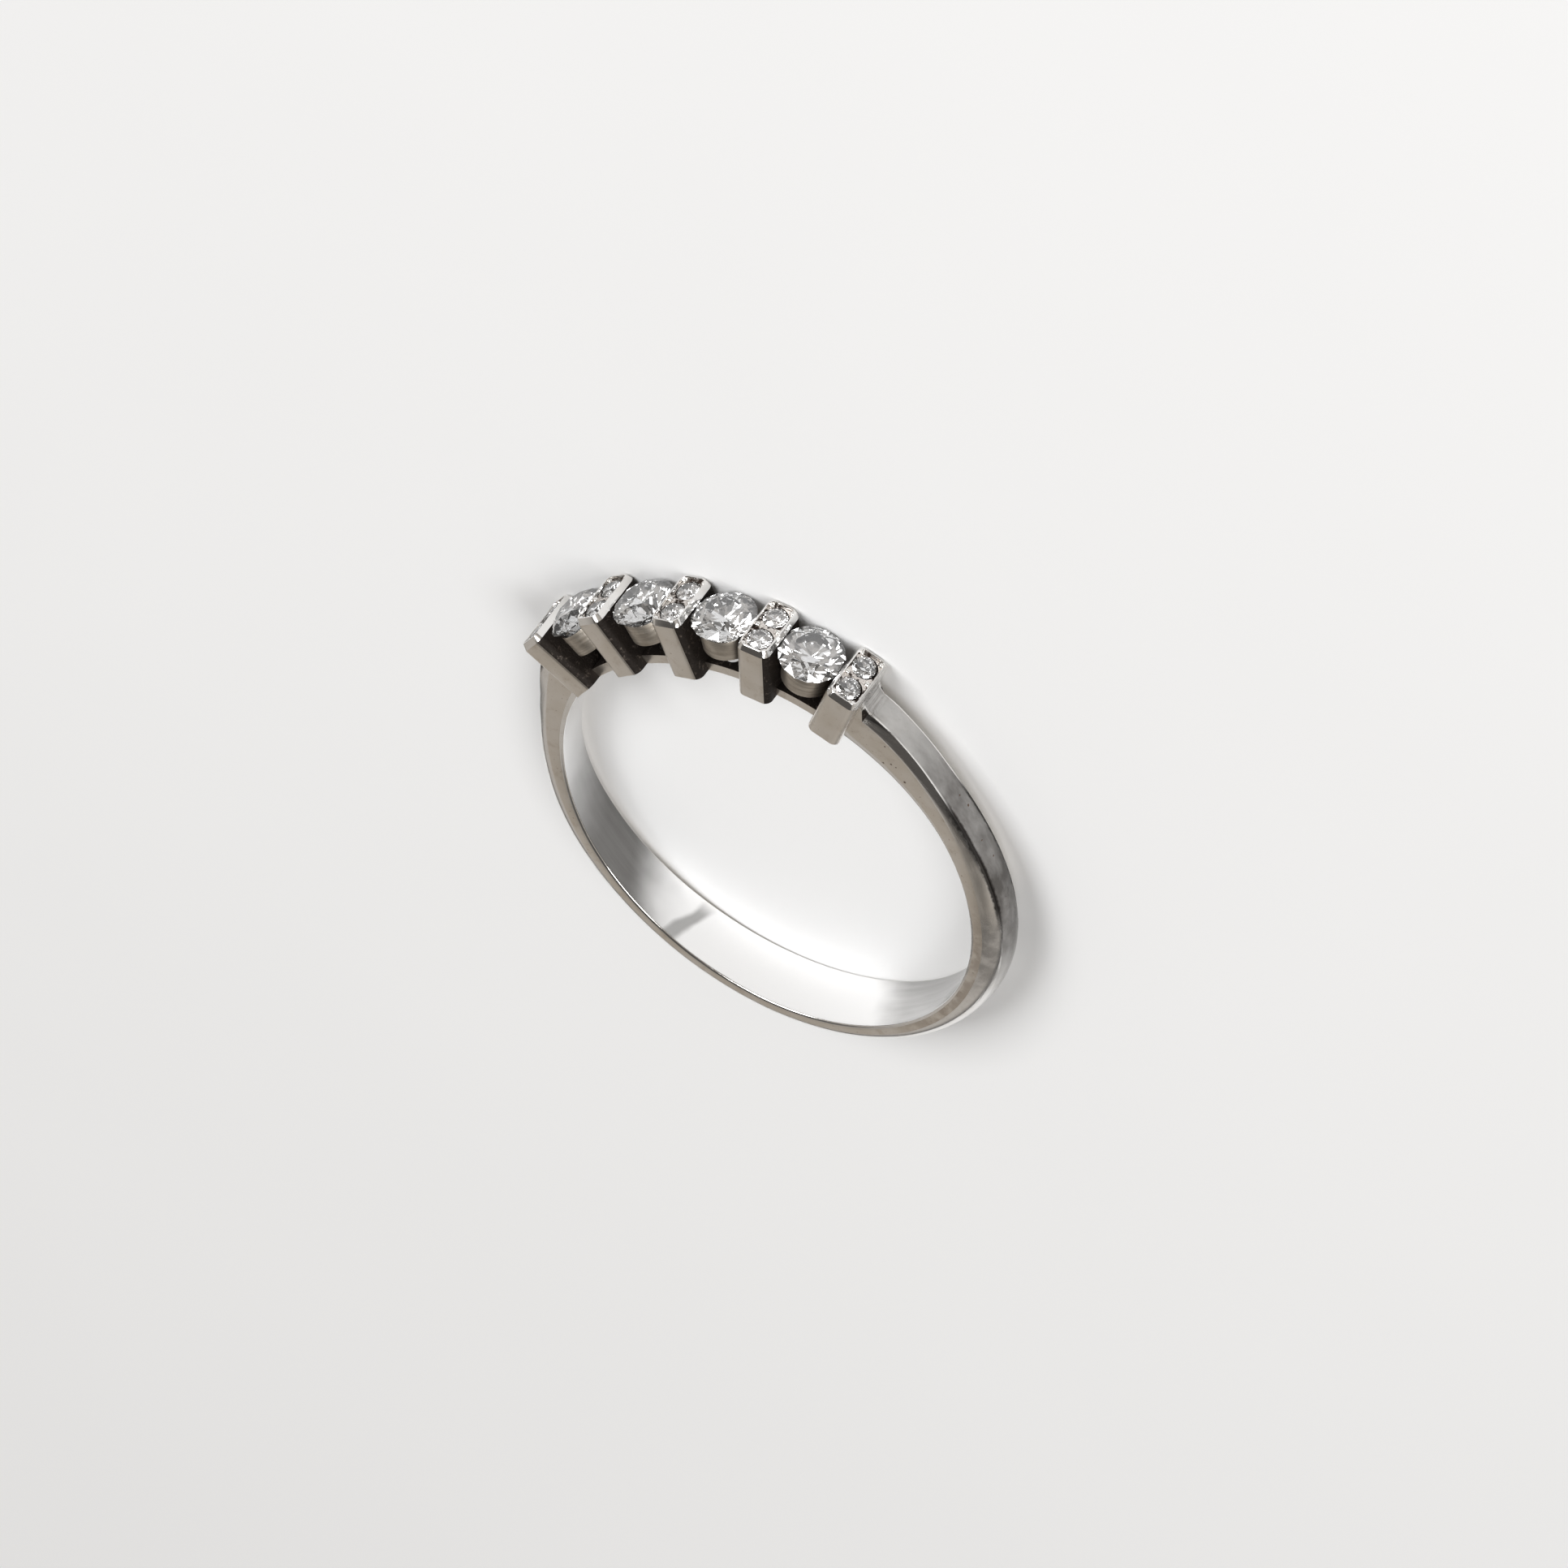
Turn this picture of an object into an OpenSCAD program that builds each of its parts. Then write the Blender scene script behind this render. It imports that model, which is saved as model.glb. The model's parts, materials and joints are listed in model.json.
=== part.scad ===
// Bar set band: a white metal finger ring with four round stones held between
// five upright bars, two small stones sunk in the end of each bar, and bevelled
// shoulders. Millimetres. The finger hole runs along Z and the head faces -Y.

/* [Finger hole] */
// Inside diameter of the ring
bore_d = 16.9; // [15:0.1:20]

/* [Shank] */
// Width across the base of the shank, opposite the head
base_w = 2.45; // [2:0.05:3.2]
// Thickness of the shank at its base
base_t = 1.14; // [0.9:0.02:1.6]
// Width of the shank where it meets the head
neck_w = 1.3; // [1:0.05:1.8]
// Height of the shoulders above the finger hole, beside the outer bars
shoulder_h = 2.05; // [1.7:0.05:2.3]
// How much lower the shoulder on the +X side is than the other one, at most
low_side = 0.44; // [0:0.02:0.5]

/* [Bars] */
// Length of each bar across the ring
bar_l = 2.45; // [2.3:0.05:3.2]
// Width of each bar round the ring
bar_w = 1.28; // [1.1:0.02:1.6]
// Height of the bars above the finger hole
bar_h = 2.69; // [2.5:0.05:3.2]
// Radius of the bars' upright corners
bar_corner = 0.3; // [0.1:0.02:0.4]
// Length of the steep bevel at each end of a bar, measured along the bar
bar_bevel = 0.1; // [0.04:0.02:0.16]
// Height of that bevel
bevel_h = 0.25; // [0.1:0.05:0.4]
// Width of the same bevel along each side of a bar
side_bevel = 0.09; // [0.04:0.01:0.12]
// Thickness of the raised rim at the sides of each bar's small stones, its bevel included
rim_t = 0.14; // [0.12:0.01:0.16]
// Thickness of the rim at each end of the bar, its bevel included
end_rim_t = 0.17; // [0.12:0.01:0.2]
// Depth of the sunk field inside the rim
field_depth = 0.14; // [0.08:0.01:0.2]

/* [Base band under the bars] */
// Width of the thin band that joins the bars' feet
foot_w = 1.26; // [0.9:0.02:1.6]
// Thickness of that band
foot_t = 0.37; // [0.25:0.01:0.5]
// Diameter of the light hole drilled through it under each main stone
window_d = 0.65; // [0.4:0.05:0.8]

/* [Main stones] */
// Diameter of each main stone
stone_d = 2.4; // [2:0.05:2.8]
// How far a main stone's edge lies inside the bars at its sides
grip = 0.07; // [0.04:0.01:0.12]
// Height of the cup wall under each main stone
cup_h = 0.9; // [0.6:0.05:1.1]
// How far the cup's foot runs into the bars at its sides
cup_bite = 0.05; // [0.03:0.01:0.12]
// Diameter of the light hole through the bottom of each cup
cup_hole_d = 0.6; // [0.4:0.05:0.8]

/* [Small stones] */
// Diameter of each small stone
small_d = 0.9; // [0.7:0.02:0.94]
// Distance between the two small stones' centres in one bar
small_pitch = 1.08; // [1.0:0.02:1.14]
// Radius of the metal beads raised round the small stones
bead_r = 0.11; // [0.06:0.01:0.14]

/* [Fit] */
// Gap left between each stone and its seat
seat_gap = 0.02; // [0.01:0.005:0.04]

/* [Hidden] */

bars = 5;
mains = bars - 1;
bore_r = bore_d / 2;
bar_top_r = bore_r + bar_h;

// Proportions of a round brilliant, as shares of its diameter
crown_share = 0.15;
pavilion_share = 0.43;
girdle_share = 0.02;
table_share = 0.56;
// Rings of its corners between table and girdle and above the culet, as shares of its radius
star_share = 0.8;
lower_share = 0.25;

// The main stones' tables lie level with the tops of the bars
girdle_r = bar_top_r - crown_share * stone_d;
culet_r = girdle_r - (girdle_share + pavilion_share) * stone_d;
// The small stones' girdles lie at the floor of the sunk field
field_r = bar_top_r - field_depth;

// The stone fills the gap between two bars and runs into each by the grip
pitch = 2 * asin((stone_d / 2 - grip + bar_w / 2) / girdle_r);
head_angle = pitch * mains / 2;

// The cup's rim meets the stone's cone this share of the way up from the culet
rim_share = 0.7;
cup_top_r = culet_r + rim_share * (girdle_r - culet_r);
cup_foot_r = cup_top_r - cup_h;

// Half the gap between two bars at the radius r
function gap_at(r) = r * sin(pitch / 2) - bar_w / 2;

// The shank starts at the outer bars' far sides
shoulder_angle = head_angle + asin(bar_w / 2 / bar_top_r);

// Sections of the shank from the outer bar to the base. Way is the share of that arc. Wide is
// the share from neck_w to base_w. Rise is the share of the height from base_t to shoulder_h,
// and climb the share from there to bar_h. Side, edge and crease are heights as shares of the
// thickness there: the top of the flat side, the lower edge of the bevel and its upper edge.
// Edge_in and crease_in are their distances from the middle, as shares of half the width.
// Lower is the share of low_side taken off on the +X side.
//    way    wide  rise  climb side  edge  edge_in crease crease_in lower
shank_rows = [
    [0.000, 0.00, 1.00, 0.62, 0.92, 0.97, 0.98,  0.99,  0.94,     0.00],
    [0.002, 0.00, 1.00, 0.44, 0.92, 0.97, 0.98,  0.99,  0.94,     0.04],
    [0.004, 0.00, 1.00, 0.28, 0.92, 0.97, 0.98,  0.99,  0.94,     0.08],
    [0.007, 0.00, 1.00, 0.14, 0.92, 0.97, 0.98,  0.99,  0.94,     0.14],
    [0.016, 0.00, 1.00, 0.00, 0.71, 0.74, 0.99,  0.96,  0.82,     0.28],
    [0.041, 0.00, 0.97, 0.00, 0.72, 0.75, 0.99,  0.96,  0.82,     0.55],
    [0.106, 0.00, 0.64, 0.00, 0.71, 0.76, 0.98,  0.96,  0.81,     1.00],
    [0.164, 0.03, 0.33, 0.00, 0.68, 0.78, 0.97,  0.95,  0.82,     0.80],
    [0.221, 0.07, 0.15, 0.00, 0.62, 0.80, 0.96,  0.94,  0.83,     0.60],
    [0.279, 0.15, 0.09, 0.00, 0.54, 0.78, 0.93,  0.92,  0.78,     0.45],
    [0.351, 0.30, 0.07, 0.00, 0.45, 0.74, 0.90,  0.90,  0.70,     0.15],
    [0.424, 0.47, 0.06, 0.00, 0.40, 0.71, 0.87,  0.90,  0.62,     0.00],
    [0.567, 0.66, 0.04, 0.00, 0.37, 0.71, 0.84,  0.91,  0.55,     0.00],
    [0.711, 0.83, 0.00, 0.00, 0.37, 0.71, 0.84,  0.92,  0.48,     0.00],
    [0.856, 0.95, 0.00, 0.00, 0.37, 0.71, 0.84,  0.92,  0.48,     0.00],
    [1.000, 1.00, 0.00, 0.00, 0.37, 0.71, 0.84,  0.92,  0.48,     0.00]
];
bead_bite = 0.03;     // how far each metal bead runs into the rim
way_step = 0.04;      // longest step between two stations, as a share of the arc
crown_bulge = 0.75;   // how full the rounded crown is, halfway from its middle to the crease
sunk = 0.3;           // how far the shank's solid runs inside the finger hole before it is bored
over = 1;             // how far a cutting tool runs past what it cuts

function column(c) = [for (row = shank_rows) [row[0], row[c]]];

// Stations: each row, with equal steps between rows that lie far apart
half_ways = [for (i = [0 : len(shank_rows) - 2])
    let (a = shank_rows[i][0], b = shank_rows[i + 1][0], n = ceil((b - a) / way_step))
    for (k = [0 : n - 1]) a + (b - a) * k / n];
half_count = len(half_ways);
ways = concat(half_ways, [1], [for (i = [half_count - 1 : -1 : 0]) half_ways[i]]);
station_count = len(ways);

// Angle of a station from the middle of the head
function station_angle(i) =
    let (turn = shoulder_angle + (180 - shoulder_angle) * ways[i])
    i <= half_count ? turn : 360 - turn;

// One section: radius and height pairs, from the lower inner edge over the crown to the upper.
// Drop is low_side on the +X side and 0 on the other
function section(way, drop) =
    let (half = (neck_w + (base_w - neck_w) * lookup(way, column(1))) / 2,
         thick = base_t + (shoulder_h - base_t) * lookup(way, column(2))
                 + (bar_h - shoulder_h) * lookup(way, column(3)) - drop * lookup(way, column(9)),
         side = thick * lookup(way, column(4)),
         edge = thick * lookup(way, column(5)),
         edge_z = half * lookup(way, column(6)),
         crease = thick * lookup(way, column(7)),
         crease_z = half * lookup(way, column(8)),
         shallow = crease + (thick - crease) * crown_bulge)
    [[-sunk, -half], [side, -half], [edge, -edge_z], [crease, -crease_z], [shallow, -crease_z / 2],
     [thick, 0],
     [shallow, crease_z / 2], [crease, crease_z], [edge, edge_z], [side, half], [-sunk, half]];

section_count = 11;

// Turns a piece built along +Z so that +Z points out from the finger hole at an angle
module on_head(angle)
    rotate([0, 0, -90 - angle]) rotate([0, 90, 0]) children();

// A rectangle with round corners, its sides along X and Y
module round_rect(length, width, corner) {
    square([length, width - 2 * corner], center = true);
    square([length - 2 * corner, width], center = true);
    for (x = [-1, 1], y = [-1, 1])
        translate([x * (length / 2 - corner), y * (width / 2 - corner)]) circle(r = corner, $fn = 24);
}

// The shank, lofted through its stations round the finger hole
module shank() {
    sections = [for (i = [0 : station_count - 1])
        let (a = station_angle(i))
        for (p = section(ways[i], a < 180 ? 0 : low_side))
            [-(bore_r + p[0]) * sin(a), -(bore_r + p[0]) * cos(a), p[1]]];
    // Each end closes on a point in the middle of the outer bar
    tip_r = bore_r + shoulder_h / 2;
    tips = [for (a = [head_angle, -head_angle]) [-tip_r * sin(a), -tip_r * cos(a), 0]];
    last = (station_count - 1) * section_count;
    tip = len(sections);
    skins = [for (i = [0 : station_count - 2], j = [0 : section_count - 1])
        let (k = (j + 1) % section_count, a = i * section_count, b = a + section_count)
        each [[a + j, b + k, a + k], [a + j, b + j, b + k]]];
    ends = [for (j = [0 : section_count - 1])
        let (k = (j + 1) % section_count)
        each [[j, k, tip], [last + k, last + j, tip + 1]]];
    polyhedron(points = concat(sections, tips), faces = concat(skins, ends), convexity = 10);
}

// The thin band that joins the bars' feet, with a light hole under each main stone
module foot_band() {
    side = bar_top_r * tan(head_angle);
    difference() {
        intersection() {
            cylinder(r = bore_r + foot_t, h = foot_w, center = true, $fn = 120);
            linear_extrude(height = foot_w + over, center = true)
                polygon([[0, 0], [-side, -bar_top_r], [side, -bar_top_r]]);
        }
        for (i = [1 : mains])
            on_head((i - 0.5) * pitch - head_angle)
                translate([0, 0, bore_r - over]) cylinder(d = window_d, h = foot_t + 2 * over, $fn = 24);
    }
}

// A bar's outline seen from one side, bevelled by the width b at its top
module bar_outline(length, b) {
    bottom = bore_r - sunk;
    polygon([[-length / 2, bottom], [length / 2, bottom],
             [length / 2, bar_top_r - bevel_h], [length / 2 - b, bar_top_r],
             [-length / 2 + b, bar_top_r], [-length / 2, bar_top_r - bevel_h]]);
}

// One bar before its seats are cut: round upright corners and a bevel round its top
module bar_blank() {
    intersection() {
        linear_extrude(height = bar_top_r) round_rect(bar_l, bar_w, bar_corner);
        rotate([90, 0, 0]) linear_extrude(height = bar_w + over, center = true)
            bar_outline(bar_l, bar_bevel);
        rotate([90, 0, 90]) linear_extrude(height = bar_l + over, center = true)
            bar_outline(bar_w, side_bevel);
    }
}

// The sunk field cut in a bar's top
module bar_field() {
    translate([0, 0, field_r]) linear_extrude(height = field_depth + over)
        round_rect(bar_l - 2 * end_rim_t, bar_w - 2 * rim_t, bar_corner - rim_t / 2);
}

// The seats of the two small stones in a bar
module bar_seats() {
    for (s = [-1, 1]) translate([s * small_pitch / 2, 0, field_r]) stone_space(small_d);
}

// The metal beads left standing in the sunk field, at its corners and between its stones
module bar_beads() {
    inset = bead_r - bead_bite;
    corner_x = bar_l / 2 - end_rim_t - inset;
    side_y = bar_w / 2 - rim_t - inset;
    for (x = [-corner_x, 0, corner_x], y = [-side_y, side_y])
        translate([x, y, field_r]) sphere(r = bead_r, $fn = 24);
}

// The space a stone takes with its gap, as a turned shape: girdle at z = 0
module stone_space(d) {
    r = d / 2 + seat_gap;
    rotate_extrude($fn = 48)
        polygon([[0, -(girdle_share + pavilion_share) * d - 2 * seat_gap],
                 [r, -girdle_share * d - seat_gap], [r, seat_gap],
                 [r - (1 - table_share) * d / 2, crown_share * d + seat_gap],
                 [0, crown_share * d + seat_gap]]);
}

// The short straight cup under a main stone, joined to the bars at its foot
module cup() {
    translate([0, 0, cup_foot_r]) cylinder(r = gap_at(cup_foot_r) + cup_bite, h = cup_h, $fn = 48);
}

// What is cut for a main stone: its own space and the light hole below it
module main_stone_cut() {
    translate([0, 0, girdle_r]) stone_space(stone_d);
    translate([0, 0, cup_foot_r - cup_h / 2]) cylinder(d = cup_hole_d, h = cup_h, $fn = 24);
}

// The cast band: shank, bars, their foot band, cups and beads in one piece of metal
module band() {
    color([0.78, 0.77, 0.74])
    difference() {
        union() {
            difference() {
                union() {
                    shank();
                    foot_band();
                    for (i = [1 : bars]) on_head((i - 1) * pitch - head_angle) bar_blank();
                    for (i = [1 : mains]) on_head((i - 0.5) * pitch - head_angle) cup();
                }
                cylinder(r = bore_r, h = base_w + bar_l, center = true, $fn = 180);
                for (i = [1 : bars]) on_head((i - 1) * pitch - head_angle) bar_field();
            }
            for (i = [1 : bars]) on_head((i - 1) * pitch - head_angle) bar_beads();
        }
        for (i = [1 : bars]) on_head((i - 1) * pitch - head_angle) bar_seats();
        for (i = [1 : mains]) on_head((i - 0.5) * pitch - head_angle) main_stone_cut();
    }
}

// A round brilliant of diameter d: the top of its girdle at z = 0, its table up
module brilliant(d) {
    r = d / 2;
    table_r = table_share * r;
    crown_r = star_share * r;
    lower_r = lower_share * r;
    crown_h = crown_share * d;
    girdle_h = girdle_share * d;
    pavilion_h = pavilion_share * d;
    // The star and lower points lie on the planes of the main facets beside them
    crown_z = crown_h * (r - crown_r * cos(22.5)) / (r - table_r);
    lower_z = -girdle_h - pavilion_h * (1 - lower_r * cos(22.5) / r);
    function ring(n, radius, z, turn) =
        [for (i = [0 : n - 1]) let (a = turn + 360 * i / n) [radius * cos(a), radius * sin(a), z]];
    table = 0;
    star = 8;
    upper = 16;
    lower = 32;
    deep = 48;
    culet = 56;
    points = concat(ring(8, table_r, crown_h, 0), ring(8, crown_r, crown_z, 22.5),
                    ring(16, r, 0, 0), ring(16, r, -girdle_h, 0),
                    ring(8, lower_r, lower_z, 22.5), [[0, 0, -girdle_h - pavilion_h]]);
    faces = concat(
        [[for (i = [7 : -1 : 0]) table + i]],
        [for (i = [0 : 7]) [table + i, table + (i + 1) % 8, star + i]],
        [for (i = [0 : 7]) [table + i, star + i, upper + 2 * i, star + (i + 7) % 8]],
        [for (i = [0 : 7]) [star + i, upper + 2 * i + 1, upper + 2 * i]],
        [for (i = [0 : 7]) [star + i, upper + (2 * i + 2) % 16, upper + 2 * i + 1]],
        [for (i = [0 : 15]) [upper + i, upper + (i + 1) % 16, lower + (i + 1) % 16, lower + i]],
        [for (i = [0 : 7]) [deep + i, lower + 2 * i, lower + 2 * i + 1]],
        [for (i = [0 : 7]) [deep + i, lower + 2 * i + 1, lower + (2 * i + 2) % 16]],
        [for (i = [0 : 7]) [culet, deep + (i + 7) % 8, lower + 2 * i, deep + i]]);
    polyhedron(points = points, faces = faces, convexity = 2);
}

// Main stone i, counted from the +X side of the head
module main_stone(i)
    color([0.86, 0.89, 0.93])
    on_head((i - 0.5) * pitch - head_angle) translate([0, 0, girdle_r]) brilliant(stone_d);

// Small stone i: two in each bar, the lower one first
module bar_stone(i) {
    bar = ceil(i / 2);
    side = i % 2 == 1 ? 1 : -1;
    color([0.86, 0.89, 0.93])
    on_head((bar - 1) * pitch - head_angle)
        translate([side * small_pitch / 2, 0, field_r]) brilliant(small_d);
}

band();
for (i = [1 : mains]) main_stone(i);
for (i = [1 : 2 * bars]) bar_stone(i);
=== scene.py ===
import json
import math

import bmesh
import bpy
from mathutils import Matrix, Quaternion, Vector


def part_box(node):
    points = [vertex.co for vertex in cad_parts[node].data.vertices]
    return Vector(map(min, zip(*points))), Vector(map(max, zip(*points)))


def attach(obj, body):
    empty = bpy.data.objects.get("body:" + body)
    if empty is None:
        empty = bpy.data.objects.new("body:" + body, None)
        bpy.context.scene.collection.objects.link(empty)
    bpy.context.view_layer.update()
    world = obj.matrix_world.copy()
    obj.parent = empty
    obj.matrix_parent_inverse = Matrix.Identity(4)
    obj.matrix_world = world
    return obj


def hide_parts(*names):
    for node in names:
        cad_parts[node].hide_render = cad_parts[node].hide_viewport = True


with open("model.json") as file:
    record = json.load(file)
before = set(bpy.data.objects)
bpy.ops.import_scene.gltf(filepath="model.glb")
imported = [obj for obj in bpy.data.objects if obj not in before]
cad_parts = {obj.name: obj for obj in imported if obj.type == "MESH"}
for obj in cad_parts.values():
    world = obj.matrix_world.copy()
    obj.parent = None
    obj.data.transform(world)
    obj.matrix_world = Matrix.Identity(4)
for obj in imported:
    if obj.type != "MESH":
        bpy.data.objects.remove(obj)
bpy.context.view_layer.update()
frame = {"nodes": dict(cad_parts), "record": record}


# The floor, the light and the camera
# The ring lies on its side on a plain pale floor, between two large soft lamps and under a dim
# ceiling. The camera looks at it from the photograph's angle, through a long lens.
MM = 0.001
band_low, band_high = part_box("band")


class Wire:
    """A node's output in a Python expression. Each operator adds a Math node."""

    def __init__(self, socket):
        self.socket = socket

    def math(self, operation, *others):
        return paint(self.socket.node.id_data, "ShaderNodeMath", {"operation": operation}, self, *others)

    def __add__(self, other):
        return self.math("ADD", other)

    def __sub__(self, other):
        return self.math("SUBTRACT", other)

    def __mul__(self, other):
        return self.math("MULTIPLY", other)

    __radd__, __rmul__ = __add__, __mul__

    def __rsub__(self, other):
        return paint(self.socket.node.id_data, "ShaderNodeMath", {"operation": "SUBTRACT"}, other, self)


def paint(tree, kind, settings, *values, out=0, **named):
    """Adds a node: its settings, then the values or links of its sockets."""
    made = tree.nodes.new(kind)
    for key, value in settings.items():
        setattr(made, key, value)
    for key, value in list(enumerate(values)) + list(named.items()):
        socket = made.inputs[key.replace("_", " ") if isinstance(key, str) else key]
        if isinstance(value, Wire):
            tree.links.new(value.socket, socket)
        elif value is not None:
            socket.default_value = value
    return Wire(made.outputs[out])


def fade(value, low, high):
    """0 up to low and 1 from high on, with a soft step between them."""
    return paint(value.socket.node.id_data, "ShaderNodeMapRange", {"interpolation_type": "SMOOTHSTEP"},
                 value, low, high, 0.0, 1.0)


def blend(share, first, second):
    """The first colour where the share is 0 and the second where it is 1."""
    colours = [c if isinstance(c, Wire) else (*c, 1) for c in (first, second)]
    return paint(share.socket.node.id_data, "ShaderNodeMix", {"data_type": "RGBA"},
                 share, None, None, None, None, None, *colours, out=2)


def noise(vector, scale, detail=2.0, roughness=0.5):
    """Cloudy noise between 0 and 1."""
    return paint(vector.socket.node.id_data, "ShaderNodeTexNoise", {},
                 Vector=vector, Scale=scale, Detail=detail, Roughness=roughness)


def place_in_mm(tree):
    """The place on the ring in millimetres."""
    place = paint(tree, "ShaderNodeTexCoord", {}, out="Object")
    return paint(tree, "ShaderNodeVectorMath", {"operation": "SCALE"}, place, Scale=1 / MM)


bpy.ops.object.select_all(action="DESELECT")
bpy.ops.mesh.primitive_plane_add(size=1.6, location=(0, 0, band_low.z))
floor = bpy.context.object
floor.name = "floor"
card = bpy.data.materials.new("pale_card")
card.use_nodes = True
mottle = noise(place_in_mm(card.node_tree), 0.05)
card_shader = card.node_tree.nodes["Principled BSDF"]
card.node_tree.links.new(blend(mottle, (0.86, 0.865, 0.87), (0.88, 0.885, 0.89)).socket,
                         card_shader.inputs["Base Color"])
card_shader.inputs["Roughness"].default_value = 0.9
card_shader.inputs["Specular IOR Level"].default_value = 0.1
floor.data.materials.append(card)


def direction(azimuth, elevation):
    """The way from the ring towards a camera or a lamp."""
    a, e = math.radians(azimuth), math.radians(elevation)
    return Vector((math.cos(a) * math.cos(e), math.sin(a) * math.cos(e), math.sin(e)))


camera_distance, camera_roll = 0.55, 217.028
aim = Vector((-0.084, -1.220, -1.052)) * MM
toward_camera = direction(-132.937, 32.319)
bpy.ops.object.camera_add(location=aim + toward_camera * camera_distance)
camera = bpy.context.object
roll = Quaternion((0, 0, 1), math.radians(camera_roll))
camera.rotation_euler = (toward_camera.to_track_quat("Z", "Y") @ roll).to_euler()
camera.data.lens = 357.9
camera.data.sensor_width = 36
camera.data.clip_start = 0.01
camera.data.clip_end = 10
bpy.context.scene.camera = camera
bpy.context.scene.view_settings.view_transform = "Standard"

world = bpy.data.worlds.new("studio")
bpy.context.scene.world = world
world.use_nodes = True
sky = world.node_tree
# A room with walls that are darker near the floor, under a dark ceiling
look = paint(sky, "ShaderNodeTexCoord", {}, out="Generated")
height = paint(sky, "ShaderNodeSeparateXYZ", {}, look, out=2)
walls = blend(fade(height, 0.02, 0.3), (0.16, 0.155, 0.15), (0.44, 0.415, 0.385))
ceiling = blend(fade(height, 0.62, 0.82), walls, (0.085, 0.08, 0.075))
background = sky.nodes["Background"]
sky.links.new(ceiling.socket, background.inputs["Color"])


def soft_light(name, toward, size, power):
    """A large square lamp aimed at the ring."""
    bpy.ops.object.light_add(type="AREA", location=toward * lamp_distance)
    lamp = bpy.context.object
    lamp.name = name
    lamp.data.size = size
    lamp.data.energy = power
    lamp.rotation_euler = toward.to_track_quat("Z", "Y").to_euler()


lamp_distance = 0.6
soft_light("key_light", direction(-75, 46), size=0.34, power=2.35)
soft_light("fill_light", direction(-170, 42), size=0.3, power=1.65)


# The metal of the band
# White gold, cast in one piece and polished, and since worn: fine scratches all over, a warm
# cast, brown stains in the satin faces, and black grime where a cloth doesn't reach, deepened by
# painted shade. Dark reflections are painted onto the crown and inside the finger hole.
def new_metal(name):
    """A metal material and the place on the ring in millimetres."""
    material = bpy.data.materials.new(name)
    material.use_nodes = True
    material.node_tree.nodes["Principled BSDF"].inputs["Metallic"].default_value = 1
    return material, place_in_mm(material.node_tree)


def finish_metal(material, colour, roughness, height, depth):
    """Joins a metal's colour, roughness and relief to its shader. Depth is the relief's, in mm."""
    tree = material.node_tree
    shader = tree.nodes["Principled BSDF"]
    relief = paint(tree, "ShaderNodeBump", {}, Strength=1.0, Distance=depth * MM, Height=height)
    for wire, socket in ((colour, "Base Color"), (roughness, "Roughness"), (relief, "Normal")):
        tree.links.new(wire.socket, shader.inputs[socket])


def round_the_ring(mm):
    """Angle in degrees from the head's middle towards -X, radius and height of a place."""
    tree = mm.socket.node.id_data
    x, y, z = [paint(tree, "ShaderNodeSeparateXYZ", {}, mm, out=k) for k in range(3)]
    angle = (x * -1).math("ARCTAN2", y * -1) * math.degrees(1)
    return angle, (x * x + y * y).math("SQRT"), z


def stretched_noise(x, y, z, detail):
    """Noise drawn out along the values that are given small factors."""
    stretched = paint(z.socket.node.id_data, "ShaderNodeCombineXYZ", {}, x, y, z)
    return noise(stretched, 1.0, detail=detail, roughness=0.6)


def scratches(mm, along, across):
    """Fine lines that run round the ring: 1 in a scratch."""
    angle, radius, z = round_the_ring(mm)
    return fade(stretched_noise(angle * (0.15 * along), radius * across, z * across, 3.0), 0.55, 0.69)


def spots(mm, places, size):
    """Small round spots at chosen angles, radii and heights: 1 in a spot."""
    tree = mm.socket.node.id_data
    found = None
    for angle, radius, z, share in places:
        centre = (-radius * math.sin(math.radians(angle)), -radius * math.cos(math.radians(angle)), z)
        far = paint(tree, "ShaderNodeVectorMath", {"operation": "DISTANCE"}, mm, centre, out="Value")
        spot = 1 - fade(far, size * share * 0.5, size * share)
        found = spot if found is None else found.math("MAXIMUM", spot)
    return found


# Satin, on the bars' fronts, the shank's flat sides and the edges of the foot band
satin, mm = new_metal("satin_white_gold")
# Angle, radius and height of each pit, and its share of the size
side_pits = [
    (53.1, 8.76, 0.65, 0.9), (54.4, 9.03, 0.65, 0.9), (55.6, 9.10, 0.65, 0.7),
    (59.7, 8.84, 0.65, 1.1), (50.4, 9.60, 0.65, 0.8), (45.6, 8.45, 0.65, 1.2),
    (64.5, 8.95, 0.65, 0.6), (-43.0, 8.8, 0.65, 0.8)]
pits = spots(mm, side_pits, size=0.055)
lines = scratches(mm, along=1.2, across=16)
stain = fade(noise(mm, 1.6, detail=4.0, roughness=0.65), 0.52, 0.72)
speckle = fade(noise(mm, 9.0, detail=3.0), 0.66, 0.74)
warmth = fade(noise(mm, 0.7), 0.35, 0.65)
angle = round_the_ring(mm)[0]
brown = fade(angle, 90, 112) * (1 - fade(angle, 146, 168)) * fade(noise(mm, 1.8, detail=4.0), 0.34, 0.6)
colour = blend(warmth, (0.79, 0.73, 0.65), (0.86, 0.81, 0.745))
colour = blend(stain * 0.4, colour, (0.58, 0.49, 0.39))
colour = blend(brown * 0.5, colour, (0.40, 0.325, 0.265))
colour = blend(speckle * 0.6, colour, (0.35, 0.26, 0.19))
colour = blend(pits, colour, (0.16, 0.11, 0.08))
rough = 0.33 + stain * 0.1 + lines * 0.08 + pits * 0.3
grain = noise(mm, 22.0, detail=3.0)
relief = grain * 0.35 - lines * 0.3 - pits * 2.5 - speckle * 0.5
finish_metal(satin, colour, rough, relief, depth=0.003)
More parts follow.
